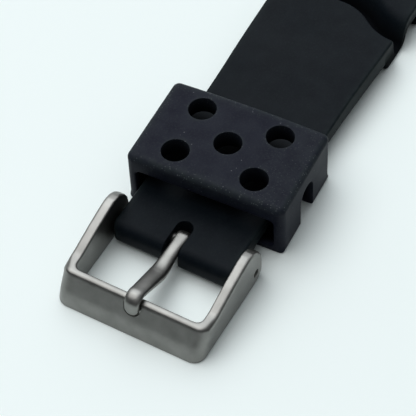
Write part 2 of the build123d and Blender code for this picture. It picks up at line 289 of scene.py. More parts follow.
# Colours as they are in linear light, widths and depths in millimetres. Deep is a near-black painted shade
# with its own roughness; worn is a lighter tone for grain and wear, on the keeper also a painted sheen
rubber = dict(
    strap=dict(dark=(0.0036, 0.0057, 0.0085), light=(0.0054, 0.0082, 0.0112), worn=(0.0140, 0.0198, 0.0210),
               rough=(0.40, 0.50), grain=0.25, specular=0.05),
    keeper=dict(dark=(0.0072, 0.0082, 0.0166), light=(0.0122, 0.0143, 0.0232), worn=(0.0225, 0.0285, 0.0315),
                rough=(0.40, 0.52), grain=0.40, specular=0.055),
    clouds=dict(width=3.0, detail=5.0, between=(0.35, 0.65)),
    fine=dict(width=0.33, detail=3.0, between=(0.5, 0.72)),
    patches=dict(width=1.2, detail=4.0, between=(0.35, 0.6)), patchLeast=0.35,
    smears=dict(width=9.0, detail=5.0, stretch=(1, 0.6, 1)),
    dust=(0.11, 0.115, 0.13), dustClusters=dict(width=5.0, detail=1.0, between=(0.48, 0.54)),
    dustSpecks=dict(cell=0.9, width=0.11, share=0.3),
    chalk=(0.085, 0.095, 0.10), chalkSpecks=dict(cell=0.36, width=0.11, share=0.42),
    # painted shade: the near-black colour and roughness laid where the deep attribute says so
    deep=(0.0008, 0.0011, 0.0018), paintedShadeRough=0.95,
    grain=dict(width=0.22, depth=0.02), waves=dict(width=1.6, depth=0.05, strength=0.12))


# Moulded rubber: cloudy dark colour; a lighter tone where the attribute for wear says so, which on the
# keeper's edges and hole rims is partly a painted sheen; near-black painted shade in its deep attribute's
# places; fine grain; and where it is dusty, clusters of dust and chalk on the worn places
def rubberMaterial(name, look, dusty):
    r = rubber
    material, tree, shader, place = newMaterial(name)
    shader.inputs["Specular IOR Level"].default_value = look["specular"]
    wearAndSheen, deep = attribute(tree, "wearAndSheen"), attribute(tree, "deep")
    colour = mixColours(tree, cloudy(tree, place, 0, 1, **r["clouds"]), look["dark"], look["light"])
    colour = mixColours(tree, cloudy(tree, place, 0, look["grain"], **r["fine"]), colour, look["worn"])
    patches = cloudy(tree, place, r["patchLeast"], 1, **r["patches"])
    # lighter tone of wear, on the keeper's edges and hole rims also a painted sheen
    colour = mixColours(tree, reckon(tree, "MULTIPLY", wearAndSheen, patches), colour, look["worn"])
    if dusty:
        clusters = cloudy(tree, place, 0, 1, **r["dustClusters"])
        dust = reckon(tree, "MULTIPLY", clusters, specks(tree, place, **r["dustSpecks"]))
        colour = mixColours(tree, dust, colour, r["dust"])
        chalk = reckon(tree, "MULTIPLY", wearAndSheen, specks(tree, place, **r["chalkSpecks"]))
        colour = mixColours(tree, chalk, colour, r["chalk"])
    # painted shade: near-black and rough where the deep attribute says so
    tree.links.new(mixColours(tree, deep, colour, r["deep"]), shader.inputs["Base Color"])
    rough = cloudy(tree, place, *look["rough"], **r["smears"])
    tree.links.new(mixNumbers(tree, deep, rough, r["paintedShadeRough"]), shader.inputs["Roughness"])
    grain, waves = r["grain"], r["waves"]
    bump(tree, shader, [(noise(tree, place, grain["width"]), grain["depth"], look["grain"]),
                        (noise(tree, place, waves["width"]), waves["depth"], waves["strength"])])
    return material


steel = dict(
    blasted=dict(dark=(0.192, 0.190, 0.180), light=(0.250, 0.247, 0.235), rough=(0.30, 0.38),
                 grain=0.09, grainDepth=0.014),
    # near-black steel for the bars' pins: painted shade in the pin holes
    shadedPin=dict(dark=(0.03, 0.03, 0.03), light=(0.06, 0.06, 0.06), rough=(0.4, 0.5)),
    wire=dict(dark=(0.22, 0.22, 0.22), light=(0.30, 0.30, 0.30), rough=(0.25, 0.35)),
    turned=dict(dark=(0.36, 0.36, 0.35), light=(0.46, 0.46, 0.45), rough=(0.22, 0.34), stretch=(1, 6, 1)),
    clouds=dict(width=2.2, detail=4.0), patches=dict(width=1.1, detail=4.0),
    grainDetail=3.0, grainStrength=0.6)


# Steel: cloudy colour, patchy gloss and a fine grain, which may be drawn out along one axis
def steelMaterial(name, dark, light, rough, grain=0.05, grainDepth=0.006, stretch=(1, 1, 1)):
    material, tree, shader, place = newMaterial(name)
    shader.inputs["Metallic"].default_value = 1
    clouds = cloudy(tree, place, 0, 1, **steel["clouds"])
    tree.links.new(mixColours(tree, clouds, dark, light), shader.inputs["Base Color"])
    tree.links.new(cloudy(tree, place, *rough, **steel["patches"]), shader.inputs["Roughness"])
    grains = noise(tree, place, grain, steel["grainDetail"], stretch)
    bump(tree, shader, [(grains, grainDepth, steel["grainStrength"])])
    return material


strapMaterial = rubberMaterial("strapRubber", rubber["strap"], False)
keeperMaterial = rubberMaterial("keeperRubber", rubber["keeper"], True)
blastedSteel = steelMaterial("blastedSteel", **steel["blasted"])
shadedPinSteel = steelMaterial("shadedPinSteel", **steel["shadedPin"])
springWire = steelMaterial("springWire", **steel["wire"])
turnedSteel = steelMaterial("turnedSteel", **steel["turned"])
print("materials ready")


# Strap: sizes in millimetres, places along X from the middle of the whole length

strap = dict(
    noseX=-37.0, lugEndX=51.5, shiftY=0.3, top=5.7, under=2.9, noseCorner=1.2, lugCorner=0.8,
    sideEdge=0.4, edgeShare=0.45,  # the edges' radius, which is at most this share of the thickness
    thinnest=1e-6,  # keeps the share finite where the two lines meet
    barX=-33.0, barZ=2.6, boreBuckle=1.86, lugX=49.0, lugZ=3.2, boreLug=2.56,
    lowered=1.0, riseStart=-11.0, riseEnd=13.0,  # the flat stretch lies this much below the crests
    noseTopRadius=1.9, noseUnderRadius=1.3, blockEnd=-29.8, blockUnder=0.4, slopeEnd=-27.8, slopeRadius=0.8,
    noseOver=2.0, noseBelow=1.4,  # one station joins these places behind the nose, over and under
    valleys=(22.05, 35.55), bow=4.5, bowHalf=12.55,
    bowOver=(13, 15.5, 38.3, 49), bowBelow=(13, 15.5, 38.4, 44),  # the bow grows, stays and fades here
    lugWallTop=43.0, lugWallFoot=44.0, lugWallRadii=(0.4, 1.0), lugWallLean=0.6,
    lugUnder=0.7, lugRadius=2.15,
    slotWidth=3.0, slotRear=2.6, slotAhead=2, slotLevels=(-1, 8), slotRim=0.22)
# Width of the strap at places along it, straight in between, its corners blended over a stretch
planPlaces = dict(x=(-37, -27, -12, 2, 19, 38, 44, 51.5),
                  width=(21.8, 21.8, 22.6, 23.1, 24.4, 24.4, 21.8, 21.8), blend=3.0, taps=7)
# Corners of one wave from its valley's middle: along, height and rounding of the top line, then of the
# line underneath, with how far the second wave's corners lie from these, then the places on the two lines
# that one station joins
wave = dict(
    topLine=((-2.0, 5.7, 0.45), (-1.15, 1.1, 1.0), (1.1, 1.1, 1.0), (3.4, 5.7, 2.6)),
    underLine=((-4.5, 2.9, 0.2), (-5.9, 0.0, 1.3), (2.5, 0.0, 1.5), (3.9, 3.0, 0.8)),
    secondLeg=(-0.8, -1.3, 0, 0),
    stations=(((-4.2, 5.7), (-4.5, 2.9)), ((-2.0, 5.7), (-5.9, 0.0)), ((-1.15, 1.1), (-1.9, 0.0)),
              ((1.1, 1.1), (1.1, 0.0)), ((2.1, 3.2), (2.5, 0.0)), ((3.2, 5.1), (3.2, 1.5)),
              ((4.9, 5.7), (4.4, 3.0))))
# Rubbed sides; then the painted shade on the rubber that the keeper covers, measured from its middle, and
# in the valleys, each with its strength, where it ends and over how much it fades
strapMarks = dict(
    rubbed=0.8, rubbedWidth=0.5,
    coveredShade=0.5, coveredX=-17.65, coveredFront=9, frontFade=4, coveredRear=10, rearFade=2.5, coveredAbove=3,
    valley=0.85, valleyTop=4.6, valleyFade=2.6, valleyFrom=17)


# Width of the strap at each place: the mean of the straight tapers over the blended stretch, less what
# the quarter circles at the four corners of the plan take away
def planWidth(x):
    p = planPlaces
    taps = np.linspace(-p["blend"] / 2, p["blend"] / 2, p["taps"])
    width = np.mean([np.interp(x + t, p["x"], p["width"]) for t in taps], axis=0)
    for end, radius in ((x - strap["noseX"], strap["noseCorner"]),
                        (strap["lugEndX"] - x, strap["lugCorner"])):
        inside = np.clip(radius - end, 0, radius)
        width = width - 2 * (radius - np.sqrt(radius ** 2 - inside ** 2))
    return width


# How far a wave's line lies ahead of its ends: two arcs turned one way at the sides and one the other way
# in the middle, all of one radius
def bowAt(y):
    half, bow = strap["bowHalf"], strap["bow"]
    radius = ((half / 2) ** 2 + (bow / 2) ** 2) / bow
    away = np.clip(np.abs(y), 0, half)
    side = radius - np.sqrt(radius ** 2 - (half - away) ** 2 * (away > half / 2))
    middle = bow - radius + np.sqrt(radius ** 2 - away ** 2 * (away <= half / 2))
    return np.where(away > half / 2, side, middle)


# How far the flat stretch lies below the crests: one parabola down and one back
def riseAt(x):
    share = np.clip((x - strap["riseStart"]) / (strap["riseEnd"] - strap["riseStart"]), 0, 1)
    return strap["lowered"] * (1 - np.where(share < 0.5, 2 * share ** 2, 1 - 2 * (1 - share) ** 2))


# Side view of the strap as two rounded lines from the nose to the lug end, over and under, and the pairs
# of places on them that stations join
def strapLines():
    s = strap
    noseZ = (s["blockUnder"] + s["noseUnderRadius"] + s["top"] - s["noseTopRadius"]) / 2
    lugMiddle = (s["top"] + s["lugUnder"]) / 2
    flatUnder = s["under"] - s["lowered"]
    lugRound = s["lugEndX"] - s["lugRadius"]
    topWallRadius, footWallRadius = s["lugWallRadii"]
    over = [(s["noseX"], noseZ + s["lowered"], 0), (s["noseX"], s["top"], s["noseTopRadius"])]
    below = [(s["noseX"], noseZ, 0), (s["noseX"], s["blockUnder"], s["noseUnderRadius"]),
             (s["blockEnd"], s["blockUnder"], s["noseUnderRadius"]),
             (s["slopeEnd"], flatUnder, s["slopeRadius"])]
    pairs = [((s["noseX"] + s["noseOver"], s["top"]), (s["noseX"] + s["noseBelow"], s["blockUnder"])),
             ((s["blockEnd"], s["top"]), (s["blockEnd"], s["blockUnder"])),
             ((s["slopeEnd"], s["top"]), (s["slopeEnd"], flatUnder))]
    for valley in s["valleys"]:
        first = valley == s["valleys"][0]
        thick = (-s["lowered"] if first else 0, 0, 0, 0)
        wide = (0, 0, 0, 0) if first else wave["secondLeg"]
        over += [(valley + x, z, r) for x, z, r in wave["topLine"]]
        below += [(valley + x + w, z + t, r) for (x, z, r), w, t in zip(wave["underLine"], wide, thick)]
        pairs += [((valley + a, b), (valley + c, d)) for (a, b), (c, d) in wave["stations"]]
    over += [(s["lugEndX"], s["top"], s["lugRadius"]), (s["lugEndX"], lugMiddle, 0)]
    below += [(s["lugWallTop"], s["under"], topWallRadius),
              (s["lugWallFoot"], s["lugUnder"], footWallRadius),
              (s["lugEndX"], s["lugUnder"], s["lugRadius"]), (s["lugEndX"], lugMiddle, 0)]
    pairs += [((s["lugWallTop"], s["top"]), (s["lugWallTop"], s["under"])),
              ((s["lugWallFoot"] + s["lugWallLean"], s["top"]), (s["lugWallFoot"], s["lugUnder"])),
              ((lugRound, s["top"]), (lugRound, s["lugUnder"]))]
    return roundedLine(over), roundedLine(below), pairs


# Walks both lines together: each mark is the nearest point of its line ahead of the last mark, and
# between two marks each line is shared out evenly
def stations(over, below, pairs, spacing=0.3, samples=6000):
    lengths = [lengthsAlong(over), lengthsAlong(below)]
    marks = [[0.0], [0.0]]
    for pair in pairs:
        for line, length, mark, spot in zip((over, below), lengths, marks, pair):
            fine = np.linspace(0, length[-1], samples)
            places = np.stack([np.interp(fine, length, line[:, k]) for k in (0, 1)], 1)
            passed = 1e3 * (fine <= mark[-1])
            mark.append(fine[np.argmin(np.linalg.norm(places - np.array(spot), axis=1) + passed)])
    for mark, length in zip(marks, lengths):
        mark.append(length[-1])
    counts = np.maximum(3, np.ceil(np.max(np.diff(np.array(marks), axis=1), axis=0) / spacing)).astype(int)
    share = np.concatenate([k + np.arange(n) / n for k, n in enumerate(counts)] + [[len(counts)]])
    walk = []
    for line, length, mark in zip((over, below), lengths, marks):
        along = np.interp(share, np.arange(len(mark)), mark)
        walk.append(np.stack([np.interp(along, length, line[:, k]) for k in (0, 1)], 1))
    return walk


# One ring round the strap: share of the flat width, share of the edge's radius sideways, and how deep it
# lies as shares of the edge's radius and of the strap's thickness
def strapRing(across=26, corner=5, side=5):
    flat = np.linspace(-1, 1, across)
    turn = np.radians(np.linspace(0, 90, corner + 2))[1:-1]
    wall = np.linspace(0, 1, side)
    parts = [
        (flat, 0 * flat, 0 * flat, 0 * flat),
        (1 + 0 * turn, np.sin(turn), 1 - np.cos(turn), 0 * turn),
        (1 + 0 * wall, 1 + 0 * wall, 1 - 2 * wall, wall),
        (1 + 0 * turn, np.cos(turn), np.sin(turn) - 1, 1 + 0 * turn),
        (flat[::-1], 0 * flat, 0 * flat, 1 + 0 * flat),
        (-1 + 0 * turn, -np.sin(turn), np.cos(turn) - 1, 1 + 0 * turn),
        (-1 + 0 * wall, -1 + 0 * wall, 2 * wall - 1, 1 - wall),
        (-1 + 0 * turn, -np.cos(turn), 1 - np.sin(turn), 0 * turn)]
    return [np.concatenate(column) for column in zip(*parts)]


# The strap's skin: at each station a ring, run from the place on the upper line to the one on the line
# below, with its four edges rounded, and its waves carried forward by the bow
def buildStrap():
    s = strap
    over, below = stations(*strapLines())
    flat, sideways, edgeDeep, thickDeep = strapRing()
    x = np.stack([over[:, 0], below[:, 0]], 1)[:, :, None]
    z = np.stack([over[:, 1], below[:, 1]], 1)[:, :, None]
    z = z - riseAt(x) * np.array([1, 0])[None, :, None]
    firstY = flat[None, None, :] * planWidth(x) / 2
    forward = np.stack([np.interp(x[:, 0], s["bowOver"], (0, 1, 1, 0)),
                        np.interp(x[:, 1], s["bowBelow"], (0, 1, 1, 0))], 1)
    x = x + bowAt(firstY) * forward
    z = np.broadcast_to(z, x.shape)
    thickness = np.maximum(np.hypot(x[:, 0] - x[:, 1], z[:, 0] - z[:, 1]), s["thinnest"])
    edge = np.minimum(s["sideEdge"], s["edgeShare"] * thickness)
    deep = edgeDeep[None] * edge / thickness + thickDeep[None]
    px = x[:, 0] + (x[:, 1] - x[:, 0]) * deep
    pz = z[:, 0] + (z[:, 1] - z[:, 0]) * deep
    py = flat[None] * (planWidth(px) / 2 - edge) + sideways[None] * edge + s["shiftY"]
    points = np.stack([px, py, pz], -1)
    obj = addMesh("strapRubber", points.reshape(-1, 3), gridFaces(*px.shape))
    mend(obj)
    return obj


# The tongue's slot, round at its rear and open at the nose, and the two bores
def cutStrap():
    s = strap
    radius = s["slotWidth"] / 2
    before = s["noseX"] - s["slotAhead"]
    slot = np.concatenate([arc((s["barX"] + s["slotRear"] - radius, s["shiftY"]), radius, -90, 90, 25),
                           [(before, s["shiftY"] + radius), (before, s["shiftY"] - radius)]])
    tools = [prism("slotTool", slot, 2, *s["slotLevels"])]
    for i, (x, z, d) in enumerate((("barX", "barZ", "boreBuckle"), ("lugX", "lugZ", "boreLug"))):
        bore = circle((s[x], s[z]), s[d] / 2, 48)
        tools.append(prism("boreTool" + str(i), bore, 1, -sideReach, sideReach))
    cut(strapPiece, tools, s["slotRim"])


# Wear falls off from the sides as a bell curve; deep, a painted shade, fades in a straight line at the ends
# of what the keeper covers and towards the top of the valleys
def markStrap():
    m = strapMarks
    alongX, y, level = placesOf(strapPiece).T
    toSide = planWidth(alongX) / 2 - np.abs(y - strap["shiftY"])
    setAttribute(strapPiece, "wearAndSheen", np.exp(-(toSide / m["rubbedWidth"]) ** 2) * m["rubbed"])
    # painted shade on the rubber under the keeper where it lies at rest, and at the bottom of the valleys
    ahead = alongX - m["coveredX"]
    ends = np.minimum((m["coveredFront"] + ahead) / m["frontFade"],
                      (m["coveredRear"] - ahead) / m["rearFade"])
    coveredShade = m["coveredShade"] * np.clip(ends, 0, 1) * (level > m["coveredAbove"])
    inValley = m["valley"] * np.clip((m["valleyTop"] - level) / m["valleyFade"], 0, 1)
    setAttribute(strapPiece, "deep", np.maximum(coveredShade, inValley * (alongX > m["valleyFrom"])))


strapPiece = buildStrap()
cutStrap()
markStrap()
strapPiece.data.materials.append(strapMaterial)
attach(strapPiece, "strap")
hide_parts("strap")
print("strap ready", len(strapPiece.data.vertices))


# Keeper: a moulded loop, worked out square to the axes and then turned as it lies

keeper = dict(
    middleX=-17.65, turn=2.75, length=18.4, width=28.5, height=11.25, wall=1.8, plate=3.55, band=1.5,
    crown=0.4, topCorner=1.0, footCorner=0.55, openingCorner=0.9, cornerShare=0.9,
    uprightEdge=1.3, topEdge=1.1, footEdge=0.4, innerEdge=0.35, topFrom=1.0, topTo=0.3,
    holeDiameter=4.8, holeX=4.91, holeY=7.13, notchWidth=4.8, notchTop=7.6, past=1, rim=0.2)
# Lighter edges and hole rims, wear with a painted sheen, the rubbed areas towards one side and towards the
# buckle, each from where and over how much it grows, and how far below the top they reach; then where the
# holes' walls turn to painted shade, and how much the inside of the loop, also painted shade, is taken wider
# and shorter than it is
keeperMarks = dict(
    edgeWidth=1.2, rimWearAndHighlight=0.6, rimWidth=0.22, rimBelow=0.8,
    rubbed=0.35, sideFrom=4, sideOver=10, frontFrom=5, frontOver=6, rubbedBelow=1.2,
    wallWithin=0.03, wallBelow=0.35, wallFade=0.5, play=0.05, openingEnd=0.4)
holes = [(0, 0)] + [(x * keeper["holeX"], y * keeper["holeY"]) for x in (-1, 1) for y in (-1, 1)]


# Section of the loop from the middle of its underside round: straight sides, arcs at the corners, and a
# top quarter that falls away from its middle as the square of the distance
def loopSection(halfWidth, low, high, footCorner, topCorner, crown, cornerCount=9, flatCount=40):
    share = np.linspace(0, 1, flatCount, endpoint=False)
    angle = np.radians(np.linspace(0, 90, cornerCount, endpoint=False))
    lowY, highY = halfWidth - footCorner, halfWidth - topCorner
    right = np.concatenate([
        np.stack([share * lowY, low + 0 * share], 1),
        np.stack([lowY + footCorner * np.sin(angle), low + footCorner * (1 - np.cos(angle))], 1),
        np.stack([halfWidth + 0 * share,
                  low + footCorner + share * (high - low - footCorner - topCorner)], 1),
        np.stack([highY + topCorner * np.cos(angle), high - topCorner * (1 - np.sin(angle))], 1),
        np.stack([(1 - share) * highY, high + 0 * share], 1)])
    ring = np.concatenate([right, [[0, high]], right[1:][::-1] * (-1, 1)])
    fall = np.clip((ring[:, 1] - low) / (high - low) * 4 - 3, 0, 1)
    ring[:, 1] -= crown * (ring[:, 0] / halfWidth) ** 2 * fall
    return ring


# The loop's skin: a path that runs over the outside, across the rear face, back through the opening and
# across the front face, carried round the section; its outer edges are quarter circles whose radius
# changes from the foot over the uprights to the top. The upright edge and the inner edge together stay
# below the wall, or the skin crosses itself.
def buildKeeper():
    k = keeper
    half, outside, small = k["width"] / 2, k["length"] / 2, k["innerEdge"]
    angle = np.radians(np.linspace(0, 90, 9))
    steady = np.linspace(-1, 1, 24)
    section = loopSection(half, 0, k["height"], k["footCorner"], k["topCorner"], k["crown"])
    levels = 0, k["uprightEdge"], k["height"] - k["topFrom"], k["height"] - k["topTo"]
    edge = np.interp(section[:, 1], levels,
                     (k["footEdge"], k["uprightEdge"], k["uprightEdge"], k["topEdge"]))

    def outerRow(side, turned):
        inset = 1 - math.cos(turned)
        ring = loopSection(half - k["uprightEdge"] * inset, k["footEdge"] * inset,
                           k["height"] - k["topEdge"] * inset,
                           k["footCorner"] - k["cornerShare"] * k["footEdge"] * inset,
                           k["topCorner"] - k["cornerShare"] * k["topEdge"] * inset, k["crown"])
        return np.column_stack([side * (outside - edge * (1 - math.sin(turned))), ring])

    def innerRow(x, grow):
        ring = loopSection(half - k["wall"] + grow, k["band"] - grow, k["height"] - k["plate"] + grow,
                           k["openingCorner"] + grow, k["openingCorner"] + grow, 0)
        return np.column_stack([np.full(len(ring), x), ring])

    first, last = outerRow(-1, 0), outerRow(1, 0)
    rows = [first + (last - first) * (s + 1) / 2 for s in steady]
    rows += [outerRow(1, a) for a in angle[1:]]
    rows += [innerRow(outside - small * (1 - math.cos(a)), small * (1 - math.sin(a))) for a in angle]
    rows += [innerRow(-s * (outside - small), 0) for s in steady[1:-1]]
    rows += [innerRow(small * (1 - math.cos(a)) - outside, small * (1 - math.sin(a))) for a in angle[::-1]]
    rows += [outerRow(-1, a) for a in angle[:0:-1]]
    points = np.array(rows)
    obj = addMesh("keeperRubber", points.reshape(-1, 3), gridFaces(len(points), points.shape[1], True))
    mend(obj)
    return obj


# The round holes in the plate, and one notch with a round top through both sides
def cutKeeper():
    k = keeper
    low, high = k["height"] - k["plate"] - k["past"], k["height"] + k["past"]
    tools = [prism("holeTool" + str(i), circle(spot, k["holeDiameter"] / 2, 60), 2, low, high)
             for i, spot in enumerate(holes)]
    radius = k["notchWidth"] / 2
    notch = np.concatenate([arc((0, k["notchTop"] - radius), radius, 0, 180, 33),
                            [(-radius, -k["past"]), (radius, -k["past"])]])
    tools.append(prism("notchTool", notch, 1, -sideReach, sideReach))
    cut(keeperPiece, tools, k["rim"])


# Wear and painted sheen: bell curves from the edges of the top and from the holes' rims, and the rubbed
# areas, which grow in a straight line. Deep, a painted shade: the holes' walls below their rims, and the
# inside of the loop
def markKeeper():
    k, m = keeper, keeperMarks
    x, y, z = placesOf(keeperPiece).T
    # the lighter edges and hole rims: wear with a painted sheen
    edge = np.minimum(k["length"] / 2 - np.abs(x), k["width"] / 2 - np.abs(y))
    edge = np.hypot(edge, k["height"] - z)
    toHole = np.min([np.hypot(x - hx, y - hy) - k["holeDiameter"] / 2 for hx, hy in holes], axis=0)
    rims = np.exp(-(np.clip(toHole, 0, None) / m["rimWidth"]) ** 2) * (z > k["height"] - m["rimBelow"])
    areas = np.maximum((-y - m["sideFrom"]) / m["sideOver"], (-x - m["frontFrom"]) / m["frontOver"])
    areas = m["rubbed"] * np.clip(areas, 0, 1) * (z > k["height"] - m["rubbedBelow"])
    wearAndSheen = np.maximum(np.maximum(np.exp(-(edge / m["edgeWidth"]) ** 2), m["rimWearAndHighlight"] * rims), areas)
    setAttribute(keeperPiece, "wearAndSheen", np.clip(wearAndSheen, 0, 1))
    # painted shade on the holes' walls and inside the loop
    walls = (toHole < m["wallWithin"]) * np.clip((k["height"] - m["wallBelow"] - z) / m["wallFade"], 0, 1)
    inside = ((np.abs(y) < k["width"] / 2 - k["wall"] + m["play"]) & (z > k["band"] - m["play"])
              & (z < k["height"] - k["plate"] + m["play"])
              & (np.abs(x) < k["length"] / 2 - m["openingEnd"]))
    setAttribute(keeperPiece, "deep", np.clip(walls + inside, 0, 1))


keeperPiece = buildKeeper()
cutKeeper()
markKeeper()
turned = Matrix.Rotation(math.radians(keeper["turn"]), 4, "Z")
keeperPiece.data.transform(Matrix.Translation((keeper["middleX"] * mm, 0, 0)) @ turned)
keeperPiece.data.materials.append(keeperMaterial)
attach(keeperPiece, "keeper")
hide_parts("keeper")
print("keeper ready", len(keeperPiece.data.vertices))


# Buckle frame: its side view carried across, its window and corners cut, all edges worn soft, and then
# the crisp notch and pin holes. Places along X are counted from the bar.

frameSizes = dict(
    side=((-12, 0, 0), (-18.5, 0, 0), (-17.75, 2.2, 9.0), (-15.62, 5.82, 0.7), (-14.8, 5.8, 0.6),
          (-12.1, 5.72, 4.0), (-7.1, 7.1, 12.0), (2.3, 9.07, 4.1), (2.3, 0, 2.2), (-12, 0, 0)),
    halfWidth=13.45, windowFront=-14.5, windowHalf=11.52, windowCorner=1.1, windowLong=20,
    windowLevels=(-1, 12),
    frontCorner=2.1, cornerFull=-15.9, cornerGone=-13.6, armShare=0.2,
    grain=0.15, softening=24, softFactor=0.5, pinHole=1.5,
    notchTip=(-16.9, -0.2, 3.9), notchOut=(-4.2, 0, 0.8), notchWidth=3.3, notchDepth=0.68, notchLow=1.15,
    notchFoot=-6, notchReach=4, rim=0.07)


# Rounds the outer edges: the front bar's uprights by the whole radius, which fades in a straight line over
# the ridge to the arms' share of it; the edges on the table stay
def roundOutside(obj, closeTo=1e-6, tableLevel=0.01, steps=8):
    f = frameSizes
    full, gone, least = strap["barX"] + f["cornerFull"], strap["barX"] + f["cornerGone"], f["armShare"]
    work = bmesh.new()
    work.from_mesh(obj.data)
    weight = work.edges.layers.float.new("bevel_weight_edge")
    for edge in work.edges:
        (x1, y1, z1), (x2, y2, z2) = (v.co for v in edge.verts)
        outer = all(abs(abs(y) - f["halfWidth"] * mm) < closeTo for y in (y1, y2)) and y1 * y2 > 0
        if outer and max(z1, z2) >= tableLevel * mm:
            along = (x1 + x2) / 2 / mm
            edge[weight] = least + (1 - least) * min(1, max(0, (gone - along) / (gone - full)))
    work.to_mesh(obj.data)
    work.free()
    soft = obj.modifiers.new("corners", "BEVEL")
    soft.width, soft.segments, soft.limit_method = f["frontCorner"] * mm, steps, "WEIGHT"
    soft.use_clamp_overlap = False
    bakeDown(obj)


# The hollow for the tongue's tip: a round channel, open at the top, whose floor lies at the notch's depth
# below the tip's place and square to the direction outwards
def notchTool():
    f = frameSizes
    radius = f["notchWidth"] / 2
    outline = np.concatenate([arc((0, -f["notchLow"]), radius, 0, 180, 25),
                              [(-radius, f["notchFoot"]), (radius, f["notchFoot"])]])
    tool = prism("notchTool", outline, 2, 0, f["notchReach"])
    side, out = Vector((0, 1, 0)), Vector(f["notchOut"]).normalized()
    tip = Vector(f["notchTip"]) + Vector((strap["barX"], 0, 0))
    turned = Matrix((side, out.cross(side), out)).transposed().to_4x4()
    tool.data.transform(Matrix.Translation((tip - out * f["notchDepth"]) * mm) @ turned)
    return tool


# The side view carried from one side to the other, then cut, and smoothed on a fine grid
def buildFrame():
    f = frameSizes
    side = roundedLine(f["side"])[:-1] + (strap["barX"], 0)
    obj = prism("buckleSteel", side, 1, -f["halfWidth"], f["halfWidth"])
    roundOutside(obj)
    front, half = strap["barX"] + f["windowFront"], f["windowHalf"]
    behind = front + f["windowLong"]
    window = roundedLine([(behind, half, 0), (front, half, f["windowCorner"]),
                          (front, -half, f["windowCorner"]), (behind, -half, 0)])
    cut(obj, [prism("windowTool", window, 2, *f["windowLevels"])], 0)
    grown = obj.modifiers.new("grain", "REMESH")
    grown.mode, grown.voxel_size = "VOXEL", f["grain"] * mm
    worn = obj.modifiers.new("worn", "SMOOTH")
    worn.factor, worn.iterations = f["softFactor"], f["softening"]
    bakeDown(obj)
    pinHole = circle((strap["barX"], strap["barZ"]), f["pinHole"] / 2, 36)
    cut(obj, [prism("pinTool", pinHole, 1, -sideReach, sideReach)], 0)
    cut(obj, [notchTool()], f["rim"], 2)
    return obj


framePiece = buildFrame()
framePiece.data.materials.append(blastedSteel)
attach(framePiece, "buckle")
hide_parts("buckle_frame")
print("frame ready", len(framePiece.data.vertices))


# Tongue: a curl round the bar, and an arm of rounded section, thickest in its dip

tongue = dict(
    sides=(0.1, -0.4), straightTo=5,  # places across at the bar and at the tip, and where it starts to lean
    curl=1.35, curlStart=-190, curlRows=60, rows=230, cornerRows=16,
    tipRows=14, tipTurn=88, tipThinner=0.5, roundStep=9,  # angles in degrees
    line=((0, 3.95, 0), (-7.4, 3.4, 7.0), (-16.1, 7.4, 1.4), (-16.9, 4.0, 0)),
    reaches=(-6, 0, 2, 4.5, 6, 8.5, 11.5, 14, 16, 30),  # distances from the top of the bar
    widths=(2.3, 2.3, 2.3, 2.4, 2.7, 3.05, 2.9, 2.75, 2.75, 2.45),
    thicknesses=(0.78, 0.78, 1.2, 1.5, 1.75, 1.9, 1.65, 1.4, 1.3, 1.2), squareness=2.4)


# The mean of each value and some on either side
def evened(values, reach=3):
    count = 2 * reach + 1
    return np.convolve(np.pad(values, reach, "edge"), np.ones(count) / count, "valid")


# A strip that curls round the bar and runs forward over it: its section is a superellipse whose width and
# thickness follow the distance from the top of the bar; towards the tip the width shrinks as a half circle
def buildTongue():
    t = tongue
    curl = arc((0, strap["barZ"]), t["curl"], t["curlStart"], 90, t["curlRows"])
    curled = lengthsAlong(curl)[-1]
    line = np.concatenate([curl, roundedLine(t["line"], t["cornerRows"])[1:]]) + (strap["barX"], 0)
    length = lengthsAlong(line)
    whole, tipRadius = length[-1], 0.5 * t["widths"][-1]
    steps = np.linspace(0, whole, t["rows"])
    tipTurn = np.radians(np.linspace(0, t["tipTurn"], t["tipRows"]))
    steps = np.concatenate([steps[steps < whole - tipRadius], whole - tipRadius * (1 - np.sin(tipTurn))])
    spots = np.stack([np.interp(steps, length, line[:, k]) for k in (0, 1)], 1)
    ahead = np.gradient(spots, steps, axis=0)
    ahead = np.stack([evened(ahead[:, k]) for k in (0, 1)], 1)
    ahead = ahead / np.linalg.norm(ahead, axis=1)[:, None]
    over = np.stack([ahead[:, 1], -ahead[:, 0]], 1)
    width = np.interp(steps - curled, t["reaches"], t["widths"]) / 2
    thickness = np.interp(steps - curled, t["reaches"], t["thicknesses"]) / 2
    middle = np.interp(steps - curled, (t["straightTo"], whole - curled), t["sides"])
    left = np.clip((steps - (whole - tipRadius)) / tipRadius, 0, 1)
    width, thickness = width * np.sqrt(1 - left ** 2), thickness * (1 - t["tipThinner"] * left ** 4)
    angle = np.radians(np.arange(0, 360, t["roundStep"]))
    power = 2 / t["squareness"]
    across = np.sign(np.cos(angle)) * np.abs(np.cos(angle)) ** power
    up = np.sign(np.sin(angle)) * np.abs(np.sin(angle)) ** power
    points = np.stack([spots[:, None, 0] + over[:, None, 0] * up * thickness[:, None],
                       middle[:, None] + across * width[:, None],
                       spots[:, None, 1] + over[:, None, 1] * up * thickness[:, None]], -1)
    grid = len(steps), len(angle)
    obj = addMesh("tongueSteel", points.reshape(-1, 3), gridFaces(*grid) + endCaps(*grid))
    mend(obj)
    return obj


tonguePiece = buildTongue()
tonguePiece.data.materials.append(blastedSteel)
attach(tonguePiece, "tongue")
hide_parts("buckle_tongue")
print("tongue ready", len(tonguePiece.data.vertices))


# Springs in the bars: one coil of round wire from pin to pin, in two halves

springs = dict(
    buckle=dict(x=strap["barX"], z=strap["barZ"], middle=0.0, half=9.16, radius=0.64, wire=0.12, turns=15,
                pressed=1.5),
    lug=dict(x=strap["lugX"], z=strap["lugZ"], middle=0.3, half=8.7, radius=0.99, wire=0.16, turns=11,
             pressed=1.2))
wireSteps, wireSides = 22, 8  # points along one turn of the coil and round its wire


